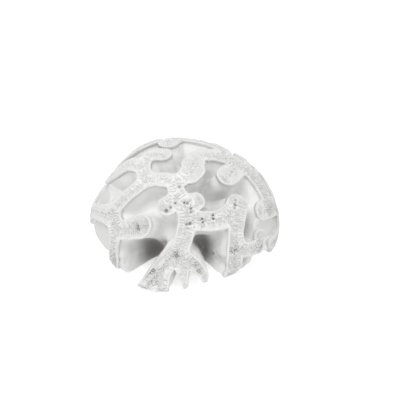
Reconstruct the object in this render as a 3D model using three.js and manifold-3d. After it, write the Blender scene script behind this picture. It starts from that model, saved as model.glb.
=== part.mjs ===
// A white brain coral skeleton: a low dome, grown as one piece. Thick walls wander over the crown,
// fork and end in round lobes. Each wall carries a shallow trough between two thin rims, deep smooth
// valleys part the walls, and the outer walls run down as feet to a flat cut, where the colony stood
// on its rock. Millimetres, +Z up. The origin is the middle of the flat cut, and -Y is the front.
import * as THREE from "three";
import { mergeVertices } from "three/addons/utils/BufferGeometryUtils.js";
import Module from "manifold-3d";

const { Manifold, Mesh } = await (async () => {
  const wasm = await Module();
  wasm.setup();
  return wasm;
})();

// Outer form of the colony, an egg-shaped dome that tucks in below its widest level.
const HALF_WIDTH = 81;
const HALF_DEPTH = 84;
const WIDEST_LEVEL = 13;
const CROWN_RISE = 71;
const SKIRT_DROP = 30;

// Places where the dome swells out or sinks in: degrees for azimuth, latitude and spread, mm for height.
const SWELLS = [
  { azimuth: -20, latitude: -18, spread: 20, height: 12 },
  { azimuth: -130, latitude: 60, spread: 22, height: 5 },
  { azimuth: -92, latitude: 8, spread: 20, height: 4 },
  { azimuth: 32, latitude: -14, spread: 18, height: -7 },
  { azimuth: -33, latitude: 31, spread: 10, height: 2.5 },
  { azimuth: -16, latitude: 47, spread: 8, height: 2 },
  { azimuth: 9, latitude: 51, spread: 8, height: 2.5 },
  { azimuth: 43, latitude: 42, spread: 10, height: 3 },
  { azimuth: 15, latitude: 73, spread: 9, height: 2 },
  { azimuth: 60, latitude: 60, spread: 9, height: 2.5 },
  { azimuth: 64, latitude: 29, spread: 9, height: 2.5 },
];

// How deep the walls are rooted, as a share of the way to the heart: in the core's cap high up, and in
// its stem low down. On the flat map every root lies at the same layer.
const ROOT_SHARE_HIGH = 0.36;
const ROOT_SHARE_LOW = 0.6;
const LEVEL_OF_HIGH_ROOTS = 27;
const ROOT_LAYER = 20;

// The trough along the top of a wall, between its two rims.
const RIM_WIDTH = 1.9;
const TROUGH_DEPTH = 3.2;
const TROUGH_FLOOR_SHARE = 0.4;
const NARROWEST_TROUGHED = 4;
const CUTTER_LIFT = 4;

// The layer of the map that the high valley floors lie at, about 4 mm under the dome.
const FLOOR_LAYER = 3.6;

// Steps along a wall and round its ends.
const STATION = 10.5;
const CAP_SIDES = 6;

// Where a bend is tight, a wall's side is drawn in bit by bit until each step along it runs forward by
// this share of the step along the crest.
const LEAST_STEP_FORWARD = 0.12;
const DRAW_IN = 0.9;
const DRAW_IN_PASSES = 30;

// The core that the walls grow from, as radius and level: a cap over a stem.
const CORE_PROFILE = [
  [0, -2],
  [36, -2],
  [37, 9],
  [44, 17],
  [51, 25],
  [54, 34],
  [50.5, 43.5],
  [41, 51.5],
  [24, 58],
  [0, 61],
];
const CORE_SIDES = 28;

// Deep places of the core: the hollow under the front right walls, and the valley above it.
const HOLLOWS = [
  { middle: [13, -62, 22], radii: [20, 24, 16] },
  { middle: [22, -30, 57], radii: [12, 14, 11] },
];
const HOLLOW_SIDES = 12;

const BONE_WHITE = 0xefedea;
const BONE_ROUGHNESS = 0.85;

// Walls of the front, crown and sides, as stops along the crest: azimuth from the front towards +X
// and latitude, in degrees, then half the wall's width in mm.
const FRONT_WALLS = {
  spine: [
    [-14, 65, 6.5], [-13, 59.5, 6.5], [-6, 53, 8], [2, 44, 9], [0, 33, 8], [-3.5, 23, 7.4], [-7, 15, 7.6],
  ],
  lobeFrontLeft: [[-8, 54, 7], [-12, 51, 8.4], [-16, 47.6, 9.3]],
  lobeFrontRight: [[-2, 51, 8], [8.5, 51, 8.6]],
  footLeft: [[-8, 16, 8], [-14, 8, 7.5], [-20, -3, 6.5], [-25, -22, 5.5]],
  footMiddle: [[-10, 12, 6], [-12, 2, 5], [-13, -24, 4.6]],
  footTip: [[-6, 19, 7], [-3, 10, 6.5], [-1, 2, 4], [0, -16, 1.8]],
  footRight: [[-1, 17, 6], [5, 10, 6.5], [10, 3, 4.5], [12, -10, 2.4]],
  crossRight: [[3, 40, 8.6], [14, 38, 8.6], [26, 37, 8.6], [37, 39, 9]],
  lobeRight: [[43.5, 41.5, 10.6], [39, 35, 8.4], [35, 26, 7.5], [33, 18, 8], [31, 8, 8.2], [32, -16, 7.5]],
  linkRight: [[33, 16, 7], [42, 11, 6.5], [50, 9, 6]],
  lobeLowRight: [[53, 15.5, 6.4], [51.5, 9, 6.4]],
  knobLowRight: [[74, 2, 5], [64.6, 3.3, 4.8]],
  lobeLeft: [[-33, 31, 11.3], [-43, 25, 8.6], [-52, 21, 8.5]],
  legLeft: [[-60, 28, 9], [-52, 21, 8], [-50, 10, 6], [-49, 0, 7], [-48.5, -7, 6.5]],
  ridgeLeft: [[-53, 59, 7], [-55, 52, 7], [-58, 44, 7.5], [-61, 34, 8], [-64, 26, 9]],
  armFarLeft: [[-64, 26, 8.5], [-75, 20.5, 7], [-86, 14.5, 6], [-92, 9, 5.5]],
  edgeFarLeft: [[-92, 9, 4.5], [-94, 4, 3.5], [-95, -1, 3]],
  crossCentre: [[-53, 59, 7], [-34, 64, 7.5], [-14, 65, 7]],
  lobeTopLeft: [[-91, 76, 8.5], [-95, 69, 8], [-81, 63, 7.5], [-64, 61, 7], [-53, 59, 7]],
  armLeft: [[-79, 62, 7], [-94, 54, 7.5], [-97, 44, 8], [-101, 35, 8]],
  lobeTop: [[7, 70, 9], [15, 74, 10.5], [22, 79, 10]],
  neckTop: [[-11, 65, 7], [-3, 68, 7], [7, 70, 8]],
  bridgeTop: [[22, 79, 8], [74, 82, 7.5], [98, 77, 8]],
  crownRight: [
    [98, 77, 8], [101, 69, 11], [98, 60, 12], [94, 50, 12], [89, 42, 11], [82, 34, 9.5], [76, 28, 9],
  ],
  lobeUpperRight: [[57, 60, 10], [81, 58, 9], [95, 55, 8]],
  lobeSideRight: [[63, 29, 8.5], [75, 25, 9], [89, 17, 8.5], [102, 10, 8]],
};

// Valley floors that lie close under the dome, as stops like those above.
const FLOORS = {
  panelFarLeft: [[-57, 9, 12], [-68, 7.5, 12.5], [-82, 7, 12]],
  valleyLeft: [[-82, 27, 8], [-93, 25, 9], [-104, 22, 9]],
  valleyRight: [[58, 20, 7.5], [69, 13, 9], [80, 9, 9]],
  slabLeft: [[-46, 2, 5], [-45, -14, 4.5], [-44, -27, 4]],
  scoopRight: [[47, 3, 2.6], [46, -12, 2.6], [45, -27, 2.6]],
};

// Walls of the back, as stops on a map seen from above: degrees from the top towards +X and towards
// the front, then half the wall's width in mm.
const BACK_WALLS = {
  ridgeTopBack: [[24, -6, 8], [22, -18, 8.5], [8, -25, 8], [-5, -24, 8], [-11, -13, 8.5]],
  ridgeBackLeft: [
    [-20, -21, 8], [-31, -20, 8], [-42, -23, 8], [-50, -34, 8.5], [-64, -36, 8], [-76, -27, 8.5],
  ],
  lobeBackMiddle: [[12, -24, 7], [16, -38, 8], [6, -50, 8.5], [-10, -50, 8], [-22, -42, 9.5]],
  spurBackRight: [[42, -8, 8], [48, -22, 8], [41, -37, 9.5]],
  ridgeBackRight: [[48, -21, 7.5], [62, -26, 8], [74, -18, 8], [76, -4, 8]],
  legRightBack: [[74, -17, 8], [86, -34, 8], [94, -64, 7]],
  legRight: [[76, -4, 8], [90, 10, 7.5], [112, 24, 6.5]],
  knobRight: [[90, 10, 7], [92, 24, 6], [90, 35, 6]],
  lobeBackLowRight: [[62, -46, 9], [54, -60, 8.5], [58, -78, 8], [64, -100, 7]],
  linkBackRight: [[54, -60, 8], [38, -60, 7.5], [24, -65, 8], [10, -74, 8.5]],
  spineBack: [[6, -50, 8.5], [10, -74, 8.5], [16, -92, 8], [14, -115, 7]],
  lobeBackLow: [[38, -86, 9.5], [26, -93, 8], [16, -92, 8]],
  lobeBackLowMiddle: [[10, -74, 8], [-8, -77, 8], [-20, -69, 9.5]],
  legBackMiddle: [[-8, -77, 8], [-16, -92, 8], [-20, -114, 7]],
  ridgeLowLeftBack: [[-50, -34, 8], [-44, -50, 8.5], [-44, -66, 8.5], [-48, -82, 8]],
  legBackLeft: [[-48, -82, 8], [-48, -94, 8], [-50, -104, 7]],
  lobeLeftBack: [[-70, -57, 9.5], [-70, -70, 8], [-76, -86, 7]],
  linkLeftBack: [[-48, -80, 8], [-70, -72, 8]],
  legFarLeft: [[-76, -27, 8.5], [-90, -38, 8], [-96, -50, 7.5], [-98, -62, 7]],
  linkFarLeft: [[-76, -27, 8], [-84, -8, 8], [-78, 4, 8]],
};

const radians = THREE.MathUtils.degToRad;

// The point inside the dome that depth is measured towards: its heart, or the axis below that level.
function heartOf(point) {
  return new THREE.Vector3(0, 0, Math.min(point.z, WIDEST_LEVEL));
}

// The unit direction away from the heart.
function outwardAt(point) {
  return point.clone().sub(heartOf(point)).normalize();
}

// The unit direction from the middle of the dome at an azimuth and latitude in radians.
function direction(azimuth, latitude) {
  const level = Math.cos(latitude);
  return new THREE.Vector3(level * Math.sin(azimuth), -level * Math.cos(azimuth), Math.sin(latitude));
}

// How far the dome swells out at a place, in mm.
function swellAt(azimuth, latitude) {
  const here = direction(azimuth, latitude);
  return SWELLS.reduce((total, swell) => {
    const middle = direction(radians(swell.azimuth), radians(swell.latitude));
    const share = here.angleTo(middle) / radians(swell.spread);
    return total + swell.height * Math.exp(-share * share);
  }, 0);
}

// The place on the dome at an azimuth and latitude in radians.
function domePoint(azimuth, latitude) {
  const rise = latitude < 0 ? SKIRT_DROP : CROWN_RISE;
  const point = direction(azimuth, latitude).multiply(new THREE.Vector3(HALF_WIDTH, HALF_DEPTH, rise));
  point.z += WIDEST_LEVEL;
  return point.addScaledVector(outwardAt(point), swellAt(azimuth, latitude));
}

// The azimuth and latitude, in radians, of a point near the dome.
function anglesOf(point) {
  const across = point.x / HALF_WIDTH;
  const back = point.y / HALF_DEPTH;
  const up = point.z - WIDEST_LEVEL;
  const rise = up < 0 ? SKIRT_DROP : CROWN_RISE;
  return [Math.atan2(across, -back), Math.atan2(up / rise, Math.hypot(across, back))];
}

// The place on the dome that a point near it stands over or under, as its azimuth and latitude.
function placeUnder(point) {
  const swell = swellAt(...anglesOf(point));
  return anglesOf(point.clone().addScaledVector(outwardAt(point), -swell));
}

// The flat map of the dome, seen from above: a place lies as far from the middle as its arc from the
// top, and a layer is how deep below the dome it lies.
function onMap([azimuth, latitude], layer) {
  const arc = HALF_WIDTH * (Math.PI / 2 - latitude);
  return new THREE.Vector3(arc * Math.sin(azimuth), -arc * Math.cos(azimuth), -layer);
}

// The point of the colony that a point of the map stands for. Layers down to the troughs' floor are in
// mm, and from there to ROOT_LAYER they run to the wall's root.
function offMap(point) {
  const azimuth = Math.atan2(point.x, -point.y);
  const surface = domePoint(azimuth, Math.PI / 2 - Math.hypot(point.x, point.y) / HALF_WIDTH);
  const rootDepth = rootShare(surface) * surface.distanceTo(heartOf(surface));
  const layer = -point.z;
  const past = Math.max(0, (layer - TROUGH_DEPTH) / (ROOT_LAYER - TROUGH_DEPTH));
  const depth = past > 0 ? THREE.MathUtils.lerp(TROUGH_DEPTH, rootDepth, past) : layer;
  return surface.addScaledVector(outwardAt(surface), -depth);
}

// The share of the way to the heart at which a wall's root lies.
function rootShare(point) {
  const high = THREE.MathUtils.smoothstep(point.z, WIDEST_LEVEL, LEVEL_OF_HIGH_ROOTS);
  return THREE.MathUtils.lerp(ROOT_SHARE_LOW, ROOT_SHARE_HIGH, high);
}

// A stop of the map seen from above, as azimuth, latitude and half-width.
function fromAbove([right, front, halfWidth]) {
  const azimuth = THREE.MathUtils.radToDeg(Math.atan2(right, front));
  return [azimuth, 90 - Math.hypot(right, front), halfWidth];
}

// Even stations along a wall's crest, each with its place, half-width, heading and side direction.
function stationsAlong(stops) {
  const places = stops.map(([azimuth, latitude]) => domePoint(radians(azimuth), radians(latitude)));
  const curve = new THREE.CatmullRomCurve3(places, false, "centripetal");
  const steps = Math.max(2, Math.round(curve.getLength() / STATION));
  const stations = curve.getSpacedPoints(steps).map((place, i) => {
    const reached = curve.getUtoTmapping(i / steps) * (stops.length - 1);
    const before = Math.min(Math.floor(reached), stops.length - 2);
    const halfWidth = THREE.MathUtils.lerp(stops[before][2], stops[before + 1][2], reached - before);
    return { point: domePoint(...placeUnder(place)), halfWidth };
  });
  stations.forEach((station, i) => {
    const ahead = stations[Math.min(i + 1, steps)].point;
    const behind = stations[Math.max(i - 1, 0)].point;
    const outward = outwardAt(station.point);
    station.side = outward.clone().cross(ahead.clone().sub(behind)).normalize();
    station.heading = station.side.clone().cross(outward);
  });
  return stations;
}

// How far a loop reaches out on one side at each station, drawn in where a bend is too tight for it.
function reachOnSide(stations, sign, widen) {
  const reach = stations.map((station) => widen(station));
  for (let pass = 0; pass < DRAW_IN_PASSES; pass += 1) {
    for (let i = 1; i < stations.length; i += 1) {
      const [from, to] = [i - 1, i].map((k) => (
        stations[k].point.clone().addScaledVector(stations[k].side, sign * reach[k])
      ));
      const along = stations[i].point.clone().sub(stations[i - 1].point);
      if (to.sub(from).dot(along) < LEAST_STEP_FORWARD * along.lengthSq()) {
        reach[i - 1] *= DRAW_IN;
        reach[i] *= DRAW_IN;
      }
    }
  }
  return reach;
}

// A closed loop round a wall on the map: out along its left side, round its end, and back along its
// right side. widen gives the distance from the crest line at a station. Each corner keeps the number
// of the station that it belongs to.
function loopRound(stations, widen, layer) {
  const loop = [];
  const last = stations.length - 1;
  const put = (index, distance, angle) => {
    const { point, side, heading } = stations[index];
    const corner = point.clone().addScaledVector(side, distance * Math.cos(angle));
    corner.addScaledVector(heading, distance * Math.sin(angle));
    loop.push({ index, corner: onMap(placeUnder(corner), layer) });
  };
  const cap = (index, start) => {
    for (let k = 1; k < CAP_SIDES; k += 1) {
      put(index, widen(stations[index]), start + (Math.PI * k) / CAP_SIDES);
    }
  };
  const left = reachOnSide(stations, 1, widen);
  const right = reachOnSide(stations, -1, widen);
  left.forEach((distance, i) => put(i, distance, 0));
  cap(last, 0);
  right.reverse().forEach((distance, i) => put(last - i, distance, Math.PI));
  cap(0, Math.PI);
  return loop;
}

// A closed solid on the map from a wall's loops, top first, each given as its widening and its layer.
function mapSolid(stations, levels) {
  const loops = levels.map(({ widen, layer }) => loopRound(stations, widen, layer));
  const count = loops[0].length;
  const corners = loops.flatMap((loop) => loop.map(({ corner }) => corner));
  const [topStart, rootStart] = [levels[0], levels.at(-1)].map(({ layer }) => {
    corners.push(...stations.map(({ point }) => onMap(placeUnder(point), layer)));
    return corners.length - stations.length;
  });
  const faces = [];
  for (let j = 0; j < count; j += 1) {
    const k = (j + 1) % count;
    for (let below = count; below < loops.length * count; below += count) {
      const above = below - count;
      faces.push([above + j, above + k, below + k], [above + j, below + k, below + j]);
    }
    const [from, to] = [loops[0][j].index, loops[0][k].index];
    const bottom = (loops.length - 1) * count;
    faces.push([k, j, topStart + to], [bottom + j, bottom + k, rootStart + to]);
    if (from !== to) {
      faces.push([topStart + to, j, topStart + from], [rootStart + from, bottom + j, rootStart + to]);
    }
  }
  const geometry = new THREE.BufferGeometry().setFromPoints(corners);
  geometry.setIndex(faces.flat());
  return solidOf(geometry);
}

// A closed geometry as a solid that can be joined and cut.
function solidOf(geometry) {
  geometry.deleteAttribute("normal");
  geometry.deleteAttribute("uv");
  const merged = mergeVertices(geometry);
  const triVerts = [];
  for (let i = 0; i < merged.index.count; i += 3) {
    const corners = [0, 1, 2].map((k) => merged.index.getX(i + k));
    if (new Set(corners).size === corners.length) triVerts.push(...corners);
  }
  return new Manifold(new Mesh({
    numProp: 3,
    vertProperties: new Float32Array(merged.attributes.position.array),
    triVerts: new Uint32Array(triVerts),
  }));
}

// One wall, from its crest down to its root.
function wallSolid(stations) {
  const widen = ({ halfWidth }) => halfWidth;
  return mapSolid(stations, [{ layer: 0, widen }, { layer: ROOT_LAYER, widen }]);
}

// One high valley floor, from its top down to its root.
function floorSolid(stations) {
  const widen = ({ halfWidth }) => halfWidth;
  return mapSolid(stations, [{ layer: FLOOR_LAYER, widen }, { layer: ROOT_LAYER, widen }]);
}

// What is taken out of a wall's top between its rims.
function troughCutter(stations) {
  const mouth = ({ halfWidth }) => halfWidth - RIM_WIDTH;
  return mapSolid(stations, [
    { layer: -CUTTER_LIFT, widen: mouth },
    { layer: 0, widen: mouth },
    { layer: TROUGH_DEPTH, widen: (station) => TROUGH_FLOOR_SHARE * mouth(station) },
  ]);
}

// All the walls with their troughs and the high valley floors, joined on the map, where their crests
// are level, and then bent onto the dome.
function wallsSolid() {
  const backWalls = Object.values(BACK_WALLS).map((stops) => stops.map(fromAbove));
  const walls = [...Object.values(FRONT_WALLS), ...backWalls].map(stationsAlong);
  const troughed = walls.map((stations) => (
    stations.filter(({ halfWidth }) => halfWidth >= NARROWEST_TROUGHED)
  ));
  const join = (whole, next) => whole.add(next);
  const floors = Object.values(FLOORS).map(stationsAlong).map(floorSolid);
  const cutters = troughed.map(troughCutter).reduce(join);
  const flat = floors.reduce(join, walls.map(wallSolid).reduce(join).subtract(cutters));
  const { vertProperties, triVerts } = flat.getMesh();
  const corners = [];
  for (let i = 0; i < vertProperties.length; i += 3) {
    corners.push(offMap(new THREE.Vector3().fromArray(vertProperties, i)));
  }
  const geometry = new THREE.BufferGeometry().setFromPoints(corners);
  geometry.setIndex(Array.from(triVerts));
  return solidOf(geometry);
}

// The core under the walls, with its hollows.
function coreSolid() {
  const profile = CORE_PROFILE.map(([radius, level]) => new THREE.Vector2(radius, level));
  const core = new THREE.LatheGeometry(profile, CORE_SIDES).rotateX(Math.PI / 2);
  const hollows = HOLLOWS.map(({ middle, radii }) => {
    const ball = new THREE.SphereGeometry(1, HOLLOW_SIDES, HOLLOW_SIDES / 2);
    return solidOf(ball.scale(...radii).translate(...middle));
  });
  return hollows.reduce((whole, hollow) => whole.subtract(hollow), solidOf(core));
}

// Everything below the flat cut.
function groundSolid() {
  const reach = 4 * HALF_DEPTH;
  const deep = 2 * SKIRT_DROP;
  return solidOf(new THREE.BoxGeometry(reach, reach, deep).translate(0, 0, -deep / 2));
}

// The whole colony: the walls on their core, cut off flat.
function colonySolid() {
  return wallsSolid().add(coreSolid()).subtract(groundSolid());
}

// A solid as a geometry to show.
function geometryOf(solid) {
  const { vertProperties, triVerts } = solid.getMesh();
  const geometry = new THREE.BufferGeometry();
  geometry.setAttribute("position", new THREE.BufferAttribute(vertProperties, 3));
  geometry.setIndex(new THREE.BufferAttribute(triVerts, 1));
  geometry.computeVertexNormals();
  return geometry;
}

const bone = new THREE.MeshStandardMaterial({
  color: BONE_WHITE,
  roughness: BONE_ROUGHNESS,
  metalness: 0,
});
const coral = new THREE.Mesh(geometryOf(colonySolid()), bone);
coral.name = "coral";

const group = new THREE.Group();
group.add(coral);

export default group;
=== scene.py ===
"""A white brain coral skeleton: thick walls that wander over a low dome, with ribbed troughs on top."""
import logging
import math
from dataclasses import dataclass, field
from enum import Enum

import bpy
import numpy as np
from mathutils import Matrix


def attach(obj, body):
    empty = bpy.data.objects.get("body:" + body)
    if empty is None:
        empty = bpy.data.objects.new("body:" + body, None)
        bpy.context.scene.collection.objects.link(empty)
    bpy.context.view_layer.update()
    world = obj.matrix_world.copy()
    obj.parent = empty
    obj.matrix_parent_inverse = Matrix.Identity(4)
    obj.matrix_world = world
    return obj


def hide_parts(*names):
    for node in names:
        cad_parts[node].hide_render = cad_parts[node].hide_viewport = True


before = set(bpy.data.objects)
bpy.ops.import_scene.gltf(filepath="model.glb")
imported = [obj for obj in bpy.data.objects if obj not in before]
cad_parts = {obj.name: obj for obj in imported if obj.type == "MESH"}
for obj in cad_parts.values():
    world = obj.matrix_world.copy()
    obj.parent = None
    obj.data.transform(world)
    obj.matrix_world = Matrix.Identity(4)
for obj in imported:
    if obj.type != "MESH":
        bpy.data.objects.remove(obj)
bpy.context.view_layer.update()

import openvdb

log = logging.getLogger("coral")

MM = 0.001
NEXT_TO_NOTHING = 1e-9
SHADE = "shade"
WHITE = (1.0, 1.0, 1.0, 1.0)
Array = np.ndarray
Piece = bpy.types.Object
Pair = tuple[float, float]
Triple = tuple[float, float, float]
Edge = tuple[int, int, int]
Stop = Triple
Table = dict[str, list[Stop]]

# Plane waves that are added up to soft bumps: their lengths as shares of the typical one, and their
# height before it is shared out.
WAVE_LENGTHS = (0.7, 1.5)
WAVE_HEIGHT = 1.6


class Side(Enum):
    """How a wall's stops are written down."""

    FRONT = "azimuth and latitude in degrees"
    BACK = "degrees from the top to the right and to the front, on a map seen from above"


# Each wall of the front, crown and sides: azimuth from the front towards +X and latitude, in degrees,
# and half-width in mm.
FRONT_WALLS: Table = {
    "spine": [
        (-14, 65, 6.5), (-13, 59.5, 6.5), (-6, 53, 8), (2, 44, 9), (0, 33, 8),
        (-3.5, 23, 7.4), (-7, 15, 7.6),
    ],
    "lobe_front_left": [(-8, 54, 7), (-12, 51, 8.4), (-16, 47.6, 9.3)],
    "lobe_front_right": [(-2, 51, 8), (8.5, 51, 8.6)],
    "foot_left": [(-8, 16, 8), (-14, 8, 7.5), (-20, -3, 6.5), (-25, -22, 5.5)],
    "foot_middle": [(-10, 12, 6), (-12, 2, 5), (-13, -24, 4.6)],
    "foot_tip": [(-6, 19, 7), (-3, 10, 6.5), (-1, 2, 4), (0, -16, 1.8)],
    "foot_right": [(-1, 17, 6), (5, 10, 6.5), (10, 3, 4.5), (12, -10, 2.4)],
    "cross_right": [(3, 40, 8.6), (14, 38, 8.6), (26, 37, 8.6), (37, 39, 9)],
    "lobe_right": [
        (43.5, 41.5, 10.6), (39, 35, 8.4), (35, 26, 7.5), (33, 18, 8), (31, 8, 8.2), (32, -16, 7.5),
    ],
    "link_right": [(33, 16, 7), (42, 11, 6.5), (50, 9, 6)],
    "lobe_low_right": [(53, 15.5, 6.4), (51.5, 9, 6.4)],
    "knob_low_right": [(74, 2, 5), (64.6, 3.3, 4.8)],
    "lobe_left": [(-33, 31, 11.3), (-43, 25, 8.6), (-52, 21, 8.5)],
    "leg_left": [(-60, 28, 9), (-52, 21, 8), (-50, 10, 6), (-49, 0, 7), (-48.5, -7, 6.5)],
    "ridge_left": [(-53, 59, 7), (-55, 52, 7), (-58, 44, 7.5), (-61, 34, 8), (-64, 26, 9)],
    "arm_far_left": [(-64, 26, 8.5), (-75, 20.5, 7), (-86, 14.5, 6), (-92, 9, 5.5)],
    "edge_far_left": [(-92, 9, 4.5), (-94, 4, 3.5), (-95, -1, 3)],
    "cross_centre": [(-53, 59, 7), (-34, 64, 7.5), (-14, 65, 7)],
    "lobe_top_left": [(-91, 76, 8.5), (-95, 69, 8), (-81, 63, 7.5), (-64, 61, 7), (-53, 59, 7)],
    "arm_left": [(-79, 62, 7), (-94, 54, 7.5), (-97, 44, 8), (-101, 35, 8)],
    "lobe_top": [(7, 70, 9), (15, 74, 10.5), (22, 79, 10)],
    "neck_top": [(-11, 65, 7), (-3, 68, 7), (7, 70, 8)],
    "bridge_top": [(22, 79, 8), (74, 82, 7.5), (98, 77, 8)],
    "crown_right": [
        (98, 77, 8), (101, 69, 11), (98, 60, 12), (94, 50, 12), (89, 42, 11),
        (82, 34, 9.5), (76, 28, 9),
    ],
    "lobe_upper_right": [(57, 60, 10), (81, 58, 9), (95, 55, 8)],
    "lobe_side_right": [(63, 29, 8.5), (75, 25, 9), (89, 17, 8.5), (102, 10, 8)],
}

# Each wall of the back: degrees from the top towards +X and towards the front, half-width in mm.
BACK_WALLS: Table = {
    "ridge_top_back": [(24, -6, 8), (22, -18, 8.5), (8, -25, 8), (-5, -24, 8), (-11, -13, 8.5)],
    "ridge_back_left": [
        (-20, -21, 8), (-31, -20, 8), (-42, -23, 8), (-50, -34, 8.5), (-64, -36, 8), (-76, -27, 8.5),
    ],
    "lobe_back_middle": [(12, -24, 7), (16, -38, 8), (6, -50, 8.5), (-10, -50, 8), (-22, -42, 9.5)],
    "spur_back_right": [(42, -8, 8), (48, -22, 8), (41, -37, 9.5)],
    "ridge_back_right": [(48, -21, 7.5), (62, -26, 8), (74, -18, 8), (76, -4, 8)],
    "leg_right_back": [(74, -17, 8), (86, -34, 8), (94, -64, 7)],
    "leg_right": [(76, -4, 8), (90, 10, 7.5), (112, 24, 6.5)],
    "knob_right": [(90, 10, 7), (92, 24, 6), (90, 35, 6)],
    "lobe_back_low_right": [(62, -46, 9), (54, -60, 8.5), (58, -78, 8), (64, -100, 7)],
    "link_back_right": [(54, -60, 8), (38, -60, 7.5), (24, -65, 8), (10, -74, 8.5)],
    "spine_back": [(6, -50, 8.5), (10, -74, 8.5), (16, -92, 8), (14, -115, 7)],
    "lobe_back_low": [(38, -86, 9.5), (26, -93, 8), (16, -92, 8)],
    "lobe_back_low_middle": [(10, -74, 8), (-8, -77, 8), (-20, -69, 9.5)],
    "leg_back_middle": [(-8, -77, 8), (-16, -92, 8), (-20, -114, 7)],
    "ridge_low_left_back": [(-50, -34, 8), (-44, -50, 8.5), (-44, -66, 8.5), (-48, -82, 8)],
    "leg_back_left": [(-48, -82, 8), (-48, -94, 8), (-50, -104, 7)],
    "lobe_left_back": [(-70, -57, 9.5), (-70, -70, 8), (-76, -86, 7)],
    "link_left_back": [(-48, -80, 8), (-70, -72, 8)],
    "leg_far_left": [(-76, -27, 8.5), (-90, -38, 8), (-96, -50, 7.5), (-98, -62, 7)],
    "link_far_left": [(-76, -27, 8), (-84, -8, 8), (-78, 4, 8)],
}

# Small pits in the walls' tops: azimuth, latitude, radius in mm.
PITS: list[Stop] = [
    (-33, 28.6, 1.9), (-34, 30.5, 1.2), (-16, 44.3, 1.7), (-13, 46.5, 1.1), (42.6, 42.3, 1.5),
    (44, 44.5, 1.0), (41, 40.6, 1.0), (1.1, 50.2, 1.3), (4.2, 46.6, 1.3), (4.4, 44.4, 1.2),
    (-1.5, 50.6, 1.2), (-8.6, 62, 1.3), (-9.5, 49.9, 1.2), (3, 37, 1.5), (0.5, 36.6, 1.0),
    (12.5, 39.4, 1.2), (12.8, 37.2, 1.0), (21.5, 40.6, 1.2), (21.5, 38.4, 1.2), (88, 26, 2.0),
    (-140, 50, 1.6), (170, 40, 1.5), (120, 30, 1.8), (150, 62, 1.3),
]

# Patches where the skeleton is broken or worn rough: azimuth, latitude, radius in mm.
BROKEN: list[Stop] = [
    (-21.6, 2.5, 11), (-18, 12, 8), (6.2, 7, 8), (-5.7, 16.3, 4), (51.7, 3, 8),
    (72, 25, 9), (25.6, 6, 5), (-48, -2, 7), (-92, 8, 8), (31, 15, 5),
    (84, 14, 5), (150, -5, 9), (-130, 0, 9), (-160, 10, 8), (118, 8, 8),
]

# Patches darkened grey, mostly painted shade in shaded valleys and under the low sides, and grey stain
# on the left lobe: azimuth, latitude, radius in mm.
STAIN_AND_SHADE_PATCHES: list[Stop] = [
    (50, 22, 9), (47, -8, 5), (54, 4, 7), (76, 24, 9), (85, 14, 7), (-92, 6, 8),
    (25, 48, 12), (31, 57, 13), (57, 50, 9), (-49, 2, 9), (42, 51, 11), (-34, 30, 9), (60, 14, 8),
]

# Valley floors that lie close under the dome, as stops like those of the front walls.
FLOORS: Table = {
    "panel_far_left": [(-57, 9, 12), (-68, 7.5, 12.5), (-82, 7, 12)],
    "valley_left": [(-82, 27, 8), (-93, 25, 9), (-104, 22, 9)],
    "valley_right": [(58, 20, 7.5), (69, 13, 9), (80, 9, 9)],
    "slab_left": [(-46, 2, 5), (-45, -14, 4.5), (-44, -27, 4)],
    "scoop_right": [(47, 3, 2.6), (46, -12, 2.6), (45, -27, 2.6)],
}


def smoothstep(low: float, high: float, value: Array) -> Array:
    """Rises smoothly from 0 to 1 as value goes from low to high."""
    share = np.clip((value - low) / (high - low), 0.0, 1.0)
    return share * share * (3.0 - 2.0 * share)


def smooth_min(a: Array, b: Array, reach: float) -> Array:
    """The smaller of two distances, rounded where they meet within reach."""
    near = np.maximum(reach - np.abs(a - b), 0.0) / reach
    return np.minimum(a, b) - near * near * reach * 0.25


def smooth_max(a: Array, b: Array, reach: float) -> Array:
    """The larger of two distances, rounded where they meet within reach."""
    return -smooth_min(-a, -b, reach)


def unit(vectors: Array) -> Array:
    """Vectors of length 1 along the last axis."""
    return vectors / np.maximum(np.linalg.norm(vectors, axis=-1, keepdims=True), NEXT_TO_NOTHING)


def waves(points: Array, wavelength: float, seed: int, count: int = 7) -> Array:
    """Soft bumps in any number of dimensions.

    Args:
        points: places, with coordinates along the last axis.
        wavelength: typical distance from bump to bump, in the points' unit.
        seed: picks the pattern.
        count: how many plane waves are added up.

    Returns:
        Values of about -1 to 1.
    """
    rng = np.random.default_rng(seed)
    total = np.zeros(points.shape[:-1], np.float32)
    for _ in range(count):
        heading = unit(rng.normal(size=points.shape[-1]))
        scale = 2.0 * math.pi / (wavelength * rng.uniform(*WAVE_LENGTHS))
        total += np.sin((points @ heading.astype(np.float32)) * scale + rng.uniform(0, 2 * math.pi))
    return total * (WAVE_HEIGHT / count)


@dataclass(frozen=True)
class Swell:
    """A place where the dome swells out, or sinks in where height is negative."""

    azimuth: float
    latitude: float
    spread: float
    height: float


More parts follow.
